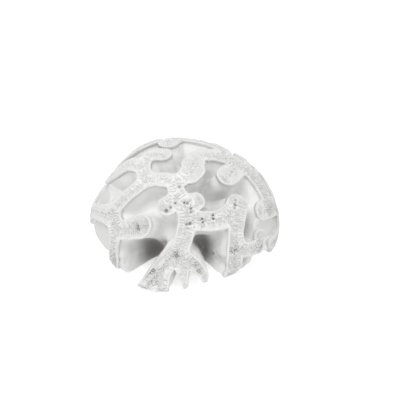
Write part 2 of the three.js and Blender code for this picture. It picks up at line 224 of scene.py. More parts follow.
@dataclass
class Dome:
    """The outer form of the colony, in mm, and the flat map that its walls are laid out on."""

    half_width: float = 81.0
    half_depth: float = 84.0
    widest_level: float = 13.0
    crown_rise: float = 71.0
    skirt_drop: float = 30.0
    swells: tuple[Swell, ...] = (
        Swell(-20, -18, 20, 12),
        Swell(-130, 60, 22, 5),
        Swell(-92, 8, 20, 4),
        Swell(32, -14, 18, -7),
        Swell(-33, 31, 10, 2.5),
        Swell(-16, 47, 8, 2),
        Swell(9, 51, 8, 2.5),
        Swell(43, 42, 10, 3),
        Swell(15, 73, 9, 2),
        Swell(60, 60, 9, 2.5),
        Swell(64, 29, 9, 2.5),
    )

    def direction(self, azimuth: Array, latitude: Array) -> Array:
        """The unit direction at an azimuth and latitude in radians."""
        level = np.cos(latitude)
        return np.stack([level * np.sin(azimuth), -level * np.cos(azimuth), np.sin(latitude)], -1)

    def swell_at(self, azimuth: Array, latitude: Array) -> Array:
        """How far the dome swells out at a place."""
        here = self.direction(azimuth, latitude)
        total = np.zeros(here.shape[:-1])
        for swell in self.swells:
            middle = self.direction(np.radians(swell.azimuth), np.radians(swell.latitude))
            angle = np.arccos(np.clip(here @ middle, -1.0, 1.0))
            total += swell.height * np.exp(-(angle / math.radians(swell.spread)) ** 2)
        return total

    def heart_of(self, points: Array) -> Array:
        """The inner point that depth is measured towards: the heart, or the axis below its level."""
        heart = np.zeros_like(points)
        heart[..., 2] = np.minimum(points[..., 2], self.widest_level)
        return heart

    def surface(self, azimuth: Array, latitude: Array) -> Array:
        """The point of the dome at an azimuth and latitude in radians."""
        rise = np.where(np.asarray(latitude) < 0, self.skirt_drop, self.crown_rise).astype(float)
        radii = np.stack(np.broadcast_arrays(self.half_width, self.half_depth, rise), -1)
        point = self.direction(azimuth, latitude) * radii
        point[..., 2] += self.widest_level
        outward = unit(point - self.heart_of(point))
        return point + outward * self.swell_at(azimuth, latitude)[..., None]

    def angles_of(self, points: Array) -> tuple[Array, Array]:
        """The azimuth and latitude, in radians, of the dome above points inside or on it."""
        across = points[..., 0] / self.half_width
        back = points[..., 1] / self.half_depth
        up = points[..., 2] - self.widest_level
        high = np.arctan2(up / self.crown_rise, np.hypot(across, back))
        low = np.arcsin(np.clip(up / self.skirt_drop, -1.0, 0.0))
        return np.arctan2(across, -back), np.where(up < 0, low, high)

    def above(self, points: Array) -> tuple[Array, Array, Array, Array]:
        """The dome above points inside or on it.

        Returns:
            Places of the map, points of the dome, their distance from the heart, and the points' depth.
        """
        azimuth, latitude = self.angles_of(points)
        surface = self.surface(azimuth, latitude)
        heart = self.heart_of(surface)
        radius = np.linalg.norm(surface - heart, axis=-1)
        depth = radius - np.linalg.norm(points - heart, axis=-1)
        return self.on_map(azimuth, latitude), surface, radius, depth

    def within(self, surface: Array, patches: list[Stop]) -> Array:
        """How far within the patches points of the dome lie: 1 in the middle of one, 0 far away."""
        total = np.zeros(surface.shape[:-1])
        for azimuth, latitude, radius in patches:
            gap = surface - self.surface(np.radians(azimuth), np.radians(latitude))
            total = np.maximum(total, np.exp(-(gap * gap).sum(-1) / (radius * radius)))
        return total

    def on_map(self, azimuth: Array, latitude: Array) -> Array:
        """A place on the map seen from above, in degrees of arc from the top."""
        arc = 90.0 - np.degrees(latitude)
        return np.stack([arc * np.sin(azimuth), -arc * np.cos(azimuth)], -1)

    def off_map(self, places: Array) -> Array:
        """The point of the dome that a place of the map stands for."""
        azimuth = np.arctan2(places[..., 0], -places[..., 1])
        return self.surface(azimuth, np.radians(90.0 - np.hypot(places[..., 0], places[..., 1])))

    def sink(self, points: Array, depth: Array) -> Array:
        """Points of the dome moved towards the heart by a depth."""
        outward = unit(points - self.heart_of(points))
        return points - outward * np.asarray(depth)[..., None]


@dataclass
class WallMap:
    """How far each place of the dome's map lies inside the walls' outline, in mm."""

    dome: Dome
    tables: tuple[tuple[Side, Table], ...]
    reach: float = 128.0
    step: float = 0.5
    blend: float = 1.3
    waver: float = 0.55
    waver_length: float = 11.0
    fade: float = 24.0
    slope_step: float = 0.5
    shortest_outline: float = 45.0
    inside: Array = field(init=False)

    def __post_init__(self) -> None:
        """Works the map out once."""
        self.inside = self.measure()

    def crest_lines(self) -> list[tuple[Array, Array]]:
        """Every wall's crest as points about 1 mm apart, with the half-width at each."""
        lines = []
        for side, walls in self.tables:
            for stops in walls.values():
                table = np.array(stops, float)
                if side is Side.BACK:
                    azimuth = np.arctan2(table[:, 0], table[:, 1])
                    latitude = np.radians(90.0 - np.hypot(table[:, 0], table[:, 1]))
                else:
                    azimuth, latitude = np.radians(table[:, 0]), np.radians(table[:, 1])
                lines.append(self.smooth_line(self.dome.surface(azimuth, latitude), table[:, 2]))
        return lines

    def smooth_line(self, places: Array, half_widths: Array) -> tuple[Array, Array]:
        """A curve through a wall's stops, by centripetal splines.

        Args:
            places: the stops, in mm.
            half_widths: the half-width at each stop.

        Returns:
            Points about 1 mm apart and the half-width at each.
        """
        def between(a: Array, b: Array, start: int, end: int) -> Array:
            """Points on the way from a to b, by where t is between two knots."""
            return a + (b - a) * (t - knots[start]) / (knots[end] - knots[start])

        stops = np.vstack([2 * places[0] - places[1], places, 2 * places[-1] - places[-2]])
        points, widths = [], []
        for i in range(1, len(stops) - 2):
            p = stops[i - 1:i + 3]
            knots = np.cumsum([0.0] + [math.sqrt(np.linalg.norm(p[k + 1] - p[k])) for k in range(3)])
            count = max(2, int(np.linalg.norm(p[2] - p[1])))
            t = np.linspace(knots[1], knots[2], count, endpoint=False)[:, None]
            a = [between(p[k], p[k + 1], k, k + 1) for k in range(3)]
            b = [between(a[k], a[k + 1], k, k + 2) for k in range(2)]
            points.append(between(b[0], b[1], 1, 2))
            widths.append(np.linspace(half_widths[i - 1], half_widths[i], count, endpoint=False))
        line = np.vstack([*points, places[-1:]])
        widths.append(half_widths[-1:])
        return self.dome.surface(*self.dome.angles_of(line)), np.concatenate(widths)

    def measure(self) -> Array:
        """The map as a square grid of how far inside the walls each place lies."""
        axis = np.arange(-self.reach, self.reach + self.step / 2, self.step)
        places = np.stack(np.meshgrid(axis, axis, indexing="ij"), -1)
        points = self.dome.off_map(places).reshape(-1, 3)
        total = np.zeros(len(points))
        for line, half_widths in self.crest_lines():
            middle = line.mean(0)
            radius = np.linalg.norm(line - middle, axis=1).max() + self.fade
            near = np.flatnonzero(((points - middle) ** 2).sum(1) < radius * radius)
            gap = np.linalg.norm(points[near, None, :] - line[None, :, :], axis=2)
            inside = (half_widths[None, :] - gap).max(1)
            total[near] += np.exp(np.maximum(inside, -self.fade) / self.blend)
        inside = self.blend * np.log(np.maximum(total, math.exp(-self.fade / self.blend)))
        inside += self.waver * waves(points, self.waver_length, seed=3).astype(float)
        return inside.reshape(places.shape[:2])

    def sample(self, places: Array) -> Array:
        """How far inside the walls places of the map lie, between the grid's points too."""
        cell = np.clip((places + self.reach) / self.step, 0, self.inside.shape[0] - 1.001)
        low = cell.astype(np.int32)
        share = cell - low
        u, v = share[..., 0], share[..., 1]
        i, j = low[..., 0], low[..., 1]
        grid = self.inside
        near = grid[i, j] * (1 - u) + grid[i + 1, j] * u
        return near * (1 - v) + (grid[i, j + 1] * (1 - u) + grid[i + 1, j + 1] * u) * v

    def uphill(self, places: Array) -> tuple[Array, Array]:
        """The way further into a wall.

        Args:
            places: places of the map.

        Returns:
            The move on the map that goes 1 mm the steepest way, and how steep that is.
        """
        steps = np.eye(2) * self.slope_step
        slope, ways = (
            np.stack([at(places + s) - at(places - s) for s in steps], -1) / (2 * self.slope_step)
            for at in (self.sample, self.dome.off_map)
        )
        metric = np.einsum("nki,nkj->nij", ways, ways)
        move = np.linalg.solve(metric, slope[..., None])[..., 0]
        steep = np.sqrt(np.maximum((slope * move).sum(-1), 1e-12))
        return move / steep[:, None], steep

    def outlines(self, level: float) -> list[Array]:
        """Lines of the map along which places lie a given distance inside the walls.

        Args:
            level: the distance, in mm.

        Returns:
            Each line as its places in order; a closed one repeats its first place.
        """
        grid = self.inside - level
        crossings: dict[Edge, Array] = {}

        def crossing(i: int, j: int, axis: int) -> Edge | None:
            """The key of the crossing on the grid edge that starts at i, j along an axis, if any."""
            a = grid[i, j]
            b = grid[i + 1, j] if axis == 0 else grid[i, j + 1]
            if (a > 0) == (b > 0):
                return None
            share = a / (a - b)
            place = np.array([i + share, j] if axis == 0 else [i, j + share])
            crossings[(i, j, axis)] = place * self.step - self.reach
            return (i, j, axis)

        above = grid > 0
        near, far = above[:-1], above[1:]
        mixed = (near[:, :-1] ^ far[:, 1:]) | (far[:, :-1] ^ near[:, 1:]) | (near[:, :-1] ^ far[:, :-1])
        links: dict[Edge, list[Edge]] = {}
        for i, j in zip(*np.nonzero(mixed)):
            i, j = int(i), int(j)
            edges = (i, j, 0), (i + 1, j, 1), (i, j + 1, 0), (i, j, 1)
            found = [key for key in (crossing(*edge) for edge in edges) if key is not None]
            for first, second in zip(found[::2], found[1::2]):
                links.setdefault(first, []).append(second)
                links.setdefault(second, []).append(first)
        lines, used = [], set()
        ends = [key for key, onward in links.items() if len(onward) == 1]
        for start in ends + list(links):
            if start in used:
                continue
            path, here = [start], start
            used.add(start)
            while True:
                onward = [key for key in links[here] if key not in used]
                if not onward:
                    break
                here = onward[0]
                used.add(here)
                path.append(here)
            closed = len(path) > 2 and start in links[here]
            places = np.array([crossings[key] for key in path])
            places = np.vstack([places, places[:1]]) if closed else places
            if np.linalg.norm(np.diff(places, axis=0), axis=1).sum() > self.shortest_outline:
                lines.append(places)
        return lines


@dataclass
class Core:
    """The cap and stem that the walls grow from, in mm."""

    cap_level: float = 34.0
    cap_radius: float = 53.0
    cap_height: float = 26.5
    stem_radius: float = 35.5
    blend: float = 8.0
    hollow_blend: float = 4.8
    lumps: float = 0.9
    lump_size: float = 17.0
    # Middle and radii of each deep place.
    hollows: tuple[tuple[tuple[float, ...], tuple[float, ...]], ...] = (
        ((13.0, -62.0, 22.0), (20.0, 24.0, 16.0)),
        ((22.0, -30.0, 57.0), (12.0, 14.0, 11.0)),
    )

    def distance(self, points: Array) -> Array:
        """About how far points lie outside the core; negative inside."""
        out = np.hypot(points[..., 0], points[..., 1])
        up = points[..., 2] - self.cap_level
        scaled = np.hypot(out / self.cap_radius, up / self.cap_height)
        steep = np.hypot(out / self.cap_radius ** 2, up / self.cap_height ** 2)
        cap = scaled * (scaled - 1.0) / np.maximum(steep, 1e-6)
        stem = np.maximum(out - self.stem_radius, up)
        whole = smooth_min(cap, stem, self.blend) + self.lumps * waves(points, self.lump_size, seed=11)
        for middle, radii in self.hollows:
            share = np.linalg.norm((points - np.array(middle)) / np.array(radii), axis=-1)
            whole = smooth_max(whole, (1.0 - share) * min(radii), self.hollow_blend)
        return whole


@dataclass
class SkeletonBody:
    """The walls' bodies on their core, with the troughs' floors and the flat cut, in mm."""

    dome: Dome
    walls: WallMap
    floors: WallMap
    core: Core
    voxel: float = 0.8
    slabs: int = 12
    lowest: Triple = (-90.0, -98.0, -3.2)
    highest: Triple = (87.0, 89.0, 90.0)
    # Walls: they hang over a little under the edge, then thin out towards their foot and flare there.
    undercut: float = 1.1
    undercut_starts: Pair = (0.2, 2.5)
    undercut_ends: Pair = (5.0, 13.0)
    taper: float = 0.8
    deepest_share: float = 0.75
    footing: float = 5.0
    # Tops: depths under the dome, and how far inside the wall each begins and ends.
    shoulder: float = 0.5
    edge_round: float = 2.0
    trough_floor: float = 1.75
    trough_side: Pair = (1.6, 3.0)
    fossa: float = 0.35
    fossa_side: Pair = (5.0, 8.0)
    pit_depth: float = 4.0
    # Valleys, and the high floors in some of them.
    valley_blend: float = 7.0
    floor_depth: float = 4.1
    floor_round: float = 3.0
    floor_blend: float = 4.0
    # Unevenness everywhere, and crumbs broken out in places.
    ripple: float = 0.22
    ripple_size: float = 7.0
    breakage: float = 2.4
    crumb_size: float = 5.2
    crumb_count: int = 11
    crumb_level: float = 0.25
    # The skin, and how its corners are moved onto the surface.
    triangle_budget: int = 190_000
    settle_step: float = 0.48
    settle_most: float = 0.3
    flattest_slope: float = 0.05
    values: Array = field(init=False)

    def distance(self, points: Array) -> Array:
        """About how far points lie outside the skeleton; negative inside."""
        places, surface, radius, depth = self.dome.above(points)
        inside = self.walls.sample(places)
        sunk = np.clip(depth / radius, 0.0, self.deepest_share)
        shrink = 1.0 - self.taper * sunk
        side = smoothstep(*self.undercut_ends, depth) - smoothstep(*self.undercut_starts, depth)
        side = self.undercut * side + self.footing * sunk / (1.0 - sunk)
        flank = -(inside + side) * shrink
        in_trough = smoothstep(*self.trough_side, inside)
        top = self.shoulder + (self.trough_floor - self.shoulder) * in_trough
        top += self.fossa * smoothstep(*self.fossa_side, inside)
        top += self.pit_depth * self.dome.within(surface, PITS)
        wall = smooth_max(flank, top - depth, self.edge_round)
        whole = smooth_min(wall, self.core.distance(points), self.valley_blend)
        shelf = -self.floors.sample(places) * shrink
        shelf = smooth_max(shelf, self.floor_depth - depth, self.floor_round)
        whole = smooth_min(whole, shelf, self.floor_blend)
        whole += self.ripple * waves(points, self.ripple_size, seed=5)
        crumbs = waves(points, self.crumb_size, seed=6, count=self.crumb_count) + self.crumb_level
        whole += self.breakage * self.dome.within(surface, BROKEN) * np.maximum(crumbs, 0.0)
        return np.maximum(whole, -points[..., 2])

    def fill(self) -> None:
        """Works the distances out on the voxel grid, slab by slab."""
        axes = [np.arange(low, high, self.voxel) for low, high in zip(self.lowest, self.highest)]
        slabs = []
        for x in np.array_split(axes[0], self.slabs):
            points = np.stack(np.meshgrid(x, axes[1], axes[2], indexing="ij"), -1).astype(np.float32)
            slabs.append(self.distance(points).astype(np.float32))
        self.values = np.concatenate(slabs)

    def probe(self, points: Array) -> Array:
        """The distances at any points, from the voxel grid."""
        cell = (points - np.array(self.lowest)) / self.voxel
        cell = np.clip(cell, 0, np.array(self.values.shape) - 1.001)
        low = cell.astype(np.int64)
        share = cell - low
        total = np.zeros(len(points))
        for corner in range(8):
            pick = np.array([corner & 1, (corner >> 1) & 1, (corner >> 2) & 1])
            weight = np.where(pick, share, 1.0 - share).prod(1)
            total += weight * self.values[tuple((low + pick).T)]
        return total

    def settle(self, points: Array, rounds: int = 2) -> Array:
        """Points moved onto the skeleton's surface."""
        steps = np.eye(3) * self.settle_step
        for _ in range(rounds):
            here = self.probe(points)
            slope = np.stack([self.probe(points + s) - self.probe(points - s) for s in steps], -1)
            slope /= 2 * self.settle_step
            move = slope * (here / np.maximum((slope * slope).sum(1), self.flattest_slope))[:, None]
            far = np.linalg.norm(move, axis=1, keepdims=True)
            share = np.minimum(1.0, self.settle_most / np.maximum(far, NEXT_TO_NOTHING))
            points = points - move * share
        points[:, 2] = np.maximum(points[:, 2], 0.0)
        return points

    def build(self) -> Piece:
        """The body as one closed mesh."""
        self.fill()
        band = 3.0 * self.voxel
        grid = openvdb.FloatGrid(band)
        grid.copyFromArray(np.clip(self.values, -band, band).astype(np.float32))
        points, quads = grid.convertToQuads(isovalue=0.0)
        points = points.astype(float) * self.voxel + np.array(self.lowest)
        piece = mesh_piece("coral_body", points, [quads[:, ::-1]])
        keep_largest(piece)
        triangles = 2 * len(piece.data.polygons)
        log.info("body before thinning: %d triangles", triangles)
        if triangles > self.triangle_budget:
            apply_decimate(piece, self.triangle_budget / triangles)
        corners = self.settle(read_points(piece) / MM)
        write_points(piece, corners * MM)
        return piece


def mesh_piece(name: str, points: Array, face_groups: list[Array]) -> Piece:
    """A new mesh object from points in mm and groups of faces with the same number of corners.

    Args:
        name: the piece's name.
        points: the corners, in mm.
        face_groups: arrays of corner numbers, one row for each face.

    Returns:
        The object, linked to the scene.
    """
    mesh = bpy.data.meshes.new(name)
    corners = np.concatenate([group.ravel() for group in face_groups]).astype(np.int32)
    sizes = np.concatenate([np.full(len(group), group.shape[1]) for group in face_groups])
    starts = np.concatenate([[0], np.cumsum(sizes)[:-1]]).astype(np.int32)
    mesh.vertices.add(len(points))
    mesh.vertices.foreach_set("co", (points * MM).astype(np.float32).ravel())
    mesh.loops.add(len(corners))
    mesh.loops.foreach_set("vertex_index", corners)
    mesh.polygons.add(len(sizes))
    mesh.polygons.foreach_set("loop_start", starts)
    mesh.update(calc_edges=True)
    mesh.validate()
    piece = bpy.data.objects.new(name, mesh)
    bpy.context.scene.collection.objects.link(piece)
    return piece


def read_points(piece: Piece) -> Array:
    """A mesh's corners, in metres."""
    corners = np.empty(3 * len(piece.data.vertices), np.float32)
    piece.data.vertices.foreach_get("co", corners)
    return corners.reshape(-1, 3).astype(float)


def write_points(piece: Piece, points: Array) -> None:
    """Moves a mesh's corners to new places, in metres."""
    piece.data.vertices.foreach_set("co", points.astype(np.float32).ravel())
    piece.data.update()


def select_only(piece: Piece) -> None:
    """Deselects everything, then selects one object and makes it active."""
    bpy.ops.object.select_all(action="DESELECT")
    piece.select_set(True)
    bpy.context.view_layer.objects.active = piece


def apply_decimate(piece: Piece, ratio: float) -> None:
    """Thins a mesh's triangles to a share of their number."""
    select_only(piece)
    thin = piece.modifiers.new("thin", "DECIMATE")
    thin.ratio = ratio
    bpy.ops.object.modifier_apply(modifier=thin.name)


def keep_largest(piece: Piece) -> None:
    """Deletes every loose shell but the one with the most corners."""
    edges = np.empty(2 * len(piece.data.edges), np.int32)
    piece.data.edges.foreach_get("vertices", edges)
    edges = edges.reshape(-1, 2)
    shell = np.arange(len(piece.data.vertices))
    while True:
        low = np.minimum(shell[edges[:, 0]], shell[edges[:, 1]])
        before = shell.copy()
        np.minimum.at(shell, edges[:, 0], low)
        np.minimum.at(shell, edges[:, 1], low)
        shell = shell[shell]
        if (shell == before).all():
            break
    names, counts = np.unique(shell, return_counts=True)
    log.info("shells: %d", len(names))
    if len(names) == 1:
        return
    select_only(piece)
    for parts in (piece.data.polygons, piece.data.edges):
        parts.foreach_set("select", np.zeros(len(parts), bool))
    piece.data.vertices.foreach_set("select", shell != names[counts.argmax()])
    bpy.context.tool_settings.mesh_select_mode = (True, False, False)
    bpy.ops.object.mode_set(mode="EDIT")
    bpy.ops.mesh.delete(type="VERT")
    bpy.ops.object.mode_set(mode="OBJECT")


def even_places(dome: Dome, line: Array, pitch: float) -> Array:
    """Places spaced evenly, in mm, along a line of the map."""
    points = dome.off_map(line)
    run = np.concatenate([[0.0], np.cumsum(np.linalg.norm(np.diff(points, axis=0), axis=1))])
    count = max(3, int(round(run[-1] / pitch)))
    at = np.linspace(0.0, run[-1], count + 1)
    return np.stack([np.interp(at, run, line[:, k]) for k in range(2)], -1)


@dataclass
class Rims:
    """The thin raised rims along both edges of every wall."""

    dome: Dome
    walls: WallMap
    middle: float = 1.1
    pitch: float = 0.9
    roughness: float = 0.22
    roughness_length: float = 3.2
    lowest: float = -4.0
    # Outwards from the middle line and down from the crest, in mm, round the rim's section.
    section: tuple[Pair, ...] = (
        (0.75, 2.4), (0.95, 1.3), (0.6, 0.55), (0.0, 0.25), (-0.6, 0.55), (-1.0, 1.5), (-1.1, 3.4),
    )

    def build(self) -> Piece:
        """All the rims as one mesh."""
        points, faces, caps, count = [], [], [], 0
        sides = len(self.section)
        for line in self.walls.outlines(self.middle):
            closed = bool((line[0] == line[-1]).all()) and len(line) > 3
            places = even_places(self.dome, line, self.pitch)
            places = places[:-1] if closed else places
            crest = self.dome.off_map(places)
            if crest[:, 2].max() < self.lowest:
                continue
            inward, _ = self.walls.uphill(places)
            way = unit(self.dome.off_map(places + inward) - crest)
            way = unit(np.roll(way, 1, 0) + 2 * way + np.roll(way, -1, 0)) if closed else way
            wobble = self.roughness * waves(crest, self.roughness_length, seed=21)
            for out, down in self.section:
                ring = self.dome.sink(crest - way * out, np.full(len(crest), down) + wobble)
                points.append(ring)
            stations = len(crest)
            turn = np.arange(stations if closed else stations - 1)
            onward = (turn + 1) % stations
            for k in range(sides):
                a, b = count + k * stations, count + ((k + 1) % sides) * stations
                faces.append(np.stack([a + turn, a + onward, b + onward, b + turn], -1))
            if not closed:
                first = count + np.arange(sides) * stations
                caps += [first[None, :], first[None, ::-1] + stations - 1]
            count += sides * stations
        corners = np.vstack(points)
        corners[:, 2] = np.maximum(corners[:, 2], 0.0)
        return mesh_piece("coral_rims", corners, [np.vstack(faces), *caps])


@dataclass
class Plates:
    """Thin upright plates in the walls' troughs, all copied from one modelled blade, in mm."""

    dome: Dome
    walls: WallMap
    stations: int = 8
    thickness: float = 0.72
    top_share: float = 0.75
    foot_share: float = 1.2
    floor: float = 3.6
    least_height: float = 0.5
    pit_depth: float = 4.0
    # How far below the dome the plates' tops lie, by how far inside the wall they stand.
    crown_top: float = 0.02
    crown_dip: float = 0.75
    crown_side: Pair = (1.5, 7.0)
    merge: float = 1e-5

    def blade(self) -> tuple[Array, Array]:
        """One plate, modelled from a cube: 0 to 1 long, -1 to 1 thick, 0 to 1 high.

        Returns:
            Its corners and its faces.
        """
        bpy.ops.object.select_all(action="DESELECT")
        bpy.ops.mesh.primitive_cube_add(size=1.0, location=(0.5, 0.0, 0.5))
        cube = bpy.context.active_object
        bpy.ops.object.transform_apply(location=True, rotation=True, scale=True)
        bpy.ops.object.mode_set(mode="EDIT")
        for k in range(1, self.stations - 1):
            bpy.ops.mesh.select_all(action="SELECT")
            bpy.ops.mesh.bisect(plane_co=(k / (self.stations - 1), 0.0, 0.0), plane_no=(1.0, 0.0, 0.0))
        bpy.ops.mesh.select_all(action="SELECT")
        bpy.ops.mesh.remove_doubles(threshold=self.merge)
        bpy.ops.mesh.normals_make_consistent(inside=False)
        bpy.ops.object.mode_set(mode="OBJECT")
        corners = read_points(cube)
        faces = np.array([list(face.vertices) for face in cube.data.polygons])
        mesh = cube.data
        bpy.data.objects.remove(cube)
        bpy.data.meshes.remove(mesh)
        corners[:, 1] *= 2.0
        return corners, faces

    def stand(self, name: str, track: Array, reach: Array, lower: Array, tooth: Array) -> Piece:
        """Stands a plate along each line.

        Args:
            name: the piece's name.
            track: places of the map along each line.
            reach: how many steps of its line each plate runs.
            lower: how much lower than the others each plate stands, in mm.
            tooth: how far each plate's top goes up or down at each station, in mm.

        Returns:
            All the plates as one mesh.
        """
        corners, faces = self.blade()
        count = len(track)
        rows = np.arange(count)[:, None]
        along = corners[:, 0][None, :] * reach[:, None]
        low = np.minimum(along.astype(int), track.shape[1] - 2)
        share = (along - low)[..., None]
        places = track[rows, low] * (1 - share) + track[rows, low + 1] * share
        crest = self.dome.off_map(places)
        last = np.ceil(reach).astype(int)
        onward = unit(self.dome.off_map(track[np.arange(count), last]) - self.dome.off_map(track[:, 0]))
        outward = unit(crest - self.dome.heart_of(crest))
        across = unit(np.cross(outward, onward[:, None, :]))
        station = np.rint(corners[:, 0] * (self.stations - 1)).astype(int)
        pits = self.pit_depth * self.dome.within(crest, PITS)
        inside = self.walls.sample(places)
        crown = self.crown_top + self.crown_dip * smoothstep(*self.crown_side, inside)
        top = crown + lower[:, None] + tooth[:, station] + pits
        upper = corners[:, 2][None, :] > 0.5
        depth = np.where(upper, top, np.maximum(self.floor, top + self.least_height))
        half = 0.5 * self.thickness * np.where(upper, self.top_share, self.foot_share)
        points = self.dome.sink(crest, depth) + across * (corners[:, 1][None, :] * half)[..., None]
        points[..., 2] = np.maximum(points[..., 2], 0.0)
        first = np.arange(count) * len(corners)
        all_faces = (faces[None] + first[:, None, None]).reshape(-1, faces.shape[1])
        log.info("%s: %d plates", name, count)
        return mesh_piece(name, points.reshape(-1, 3), [all_faces])


@dataclass
class Septa(Plates):
    """The plates that run from every rim to the middle of its wall."""

    pitch: float = 2.05
    start: float = 0.1
    step: float = 0.7
    least_steps: int = 3
    most_steps: int = 22
    straightness: float = 0.5
    least_gain: float = 0.25
    least_slope: float = 0.35
    lowest: float = 0.6
    tooth: float = 0.2
    broken_tooth: float = 0.7
    broken_drop: float = 1.4
    first_tooth_share: float = 0.3
    short_share: float = 0.6
    short_drop: float = 0.2
    reach_shares: Pair = (0.93, 1.0)

    def paths(self) -> tuple[Array, Array]:
        """The plates' lines, from each rim to the middle of its wall.

        Returns:
            Places of the map, one row of steps for each plate, and how many steps each runs.
        """
        lines = self.walls.outlines(self.start)
        here = np.vstack([even_places(self.dome, line, self.pitch)[:-1] for line in lines])
        here = here[self.dome.off_map(here)[:, 2] > self.lowest]
        track, length = [here], np.zeros(len(here), int)
        going = np.ones(len(here), bool)
        heading = None
        for k in range(self.most_steps):
            move, steep = self.walls.uphill(here)
            if heading is not None:
                move = (1.0 - self.straightness) * move + self.straightness * heading
            onward = here + move * self.step
            gain = self.walls.sample(onward) - self.walls.sample(here)
            going &= (gain > self.least_gain * self.step) & (steep > self.least_slope)
            here = np.where(going[:, None], onward, here)
            heading = move
            length[going] = k + 1
            track.append(here)
        keep = length >= self.least_steps
        return np.stack(track, 1)[keep], length[keep]

    def build(self, track: Array, length: Array) -> Piece:
        """All the plates as one mesh, from their lines and how many steps each runs."""
        count = len(track)
        rng = np.random.default_rng(8)
        short = np.arange(count) % 2 == 1
        reach = np.where(short, self.short_share, 1.0) * length * rng.uniform(*self.reach_shares, count)
        broken = self.dome.within(self.dome.off_map(track[:, self.least_steps]), BROKEN)
        height = self.tooth + self.broken_tooth * broken[:, None]
        tooth = rng.uniform(-1.0, 1.0, (count, self.stations)) * height
        tooth[:, 0] *= self.first_tooth_share
        lower = np.where(short, self.short_drop, 0.0) + self.broken_drop * broken
        return self.stand("coral_septa", track, reach, lower, tooth)


@dataclass
class Columella(Plates):
    """The tangle of short crossing plates in the middle of every wall and where the septa fan out."""

    stations: int = 3
    thickness: float = 0.8
    spacing: float = 1.45
    narrowest: float = 4.6
    nearest_edge: float = 1.9
    lowest: float = 1.5
    jitter: float = 0.45
    steps: int = 5
    step: float = 0.5
    reaches: Pair = (2.4, 4.0)
    teeth: Pair = (-0.35, 0.45)
    drops: Pair = (-0.2, 0.5)

    def crossed(self, septa: Array, places: Array) -> Array:
        """Whether a septum passes close to each of some places of the map.

        Args:
            septa: places of the map along each septum.
            places: the places that are asked about.

        Returns:
            True or false for each place.
        """
        size = int(2 * self.walls.reach / self.spacing) + 2
        cells = np.zeros((size, size), bool)
        at = ((septa.reshape(-1, 2) + self.walls.reach) / self.spacing).astype(int)
        cells[at[:, 0], at[:, 1]] = True
        cells[1:] |= cells[:-1].copy()
        cells[:, 1:] |= cells[:, :-1].copy()
        here = np.rint((places + self.walls.reach) / self.spacing).astype(int)
        return cells[here[:, 0], here[:, 1]]

    def build(self, septa: Array) -> Piece:
        """All the short plates as one mesh, round the lines of the septa."""
        rng = np.random.default_rng(12)
        axis = np.arange(-self.walls.reach, self.walls.reach, self.spacing)
        places = np.stack(np.meshgrid(axis, axis, indexing="ij"), -1).reshape(-1, 2)
        places = places + rng.uniform(-self.jitter, self.jitter, places.shape) * self.spacing
        inside = self.walls.sample(places)
        clear = self.dome.off_map(places)[:, 2] > self.lowest
        middle = inside > self.narrowest + rng.uniform(0.0, 1.0, len(places))
        bare = (inside > self.nearest_edge) & ~self.crossed(septa, places)
        places = places[(middle | bare) & clear]
        turn = rng.uniform(0.0, math.pi, len(places))
        heading = np.stack([np.cos(turn), np.sin(turn)], -1)
        steps = (np.arange(self.steps) - (self.steps - 1) / 2) * self.step
        track = places[:, None, :] + heading[:, None, :] * steps[None, :, None]
        reach = rng.uniform(*self.reaches, len(places))
        tooth = rng.uniform(*self.teeth, (len(places), self.stations))
        lower = rng.uniform(*self.drops, len(places))
        return self.stand("coral_columella", track, reach, lower, tooth)


@dataclass
class DustAndShade:
    """Painted shade in hollows, valleys, floors, pits and some patches, with grey over the wall tops,
    stains and dead broken growth, which darkens the skeleton: a value from 0 to 1 at each corner.
    """

    dome: Dome
    floors: WallMap
    floor_shade_share: float = 0.42
    trough_depth: Pair = (1.8, 4.0)
    trough_share: float = 0.16
    valley_depth: Pair = (4.0, 24.0)
    valley_shade_share: float = 0.04
    hollow_depth: Pair = (17.0, 38.0)
    hollow_level: Pair = (22.0, 38.0)
    broken_share: float = 0.42
    stain_and_shade_share: float = 0.35
    pit_shade_share: float = 0.6
    pit_side: Pair = (0.8, 3.0)
    floor_edge: Pair = (-1.0, 2.0)
    floor_side: Pair = (2.0, 4.0)

    def settle_on(self, piece: Piece) -> None:
        """Writes the painted shade and dust on a piece as an attribute of its corners."""
        points = read_points(piece) / MM
        places, surface, _, depth = self.dome.above(points)
        on_floor = smoothstep(*self.floor_edge, self.floors.sample(places))
        # Painted shade on the high valley floors, deeper than about 2 mm under the dome, where a deeper
        # valley would lie in shade.
        floor_shade = self.floor_shade_share * on_floor * smoothstep(*self.floor_side, depth)
        # Painted shade in the valleys: darker the deeper a point lies under the dome.
        dust_and_shade = self.valley_shade_share * smoothstep(*self.valley_depth, depth)
        # Darker within a few mm of the dome: over the wall tops and their troughs.
        trough_darkening = self.trough_share * (1.0 - smoothstep(*self.trough_depth, depth))
        # Painted shade in the deep hollows low in the skeleton, by depth under the dome and by height.
        low = 1.0 - smoothstep(*self.hollow_level, points[:, 2])
        dust_and_shade = np.maximum.reduce([
            dust_and_shade, floor_shade, trough_darkening, smoothstep(*self.hollow_depth, depth) * low,
            self.broken_share * self.dome.within(surface, BROKEN),
            # Grey patches: mostly painted shade in valleys and undersides, partly grey stain.
            self.stain_and_shade_share * self.dome.within(surface, STAIN_AND_SHADE_PATCHES),
            # Painted shade deep inside the pits.
            self.pit_shade_share * self.dome.within(surface, PITS) * smoothstep(*self.pit_side, depth),
        ])
        shade = piece.data.attributes.new(SHADE, "FLOAT", "POINT")
        shade.data.foreach_set("value", dust_and_shade.astype(np.float32))


def tune(node: bpy.types.Node, values: dict[str, float | tuple[float, ...]]) -> None:
    """Sets some of a shader node's inputs by their names."""
    for name, value in values.items():
        node.inputs[name].default_value = value


